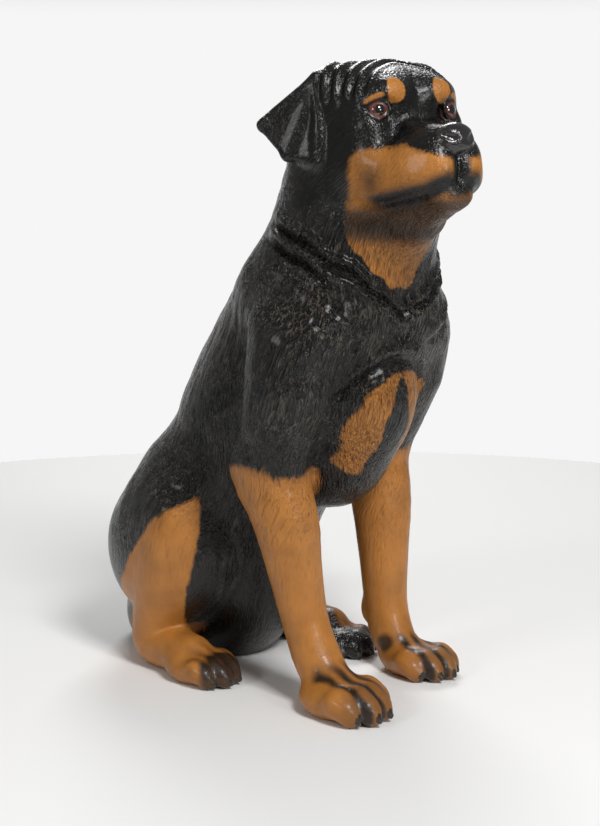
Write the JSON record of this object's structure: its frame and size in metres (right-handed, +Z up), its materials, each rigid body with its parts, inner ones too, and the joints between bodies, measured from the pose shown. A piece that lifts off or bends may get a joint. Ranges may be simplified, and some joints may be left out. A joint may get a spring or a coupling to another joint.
{
  "type": "rottweiler statue",
  "caption": "Seated rottweiler statue, nearly life size, cast in resin in one piece with carved fur and painted glossy black and tan; stands on its paws and rump.",
  "frame": {"origin": "on the ground, below the middle of the statue's box", "axes": "+Z up, +X to the dog's own left, +Y to its back; it faces -Y"},
  "size_m": [0.3746, 0.7082, 0.9019],
  "materials": {
    "painted_resin": "glossy paint on cast resin, black with tan markings"
  },
  "bodies": {
    "root": {"rottweiler_statue": "painted_resin"}
  },
  "joints": []
}
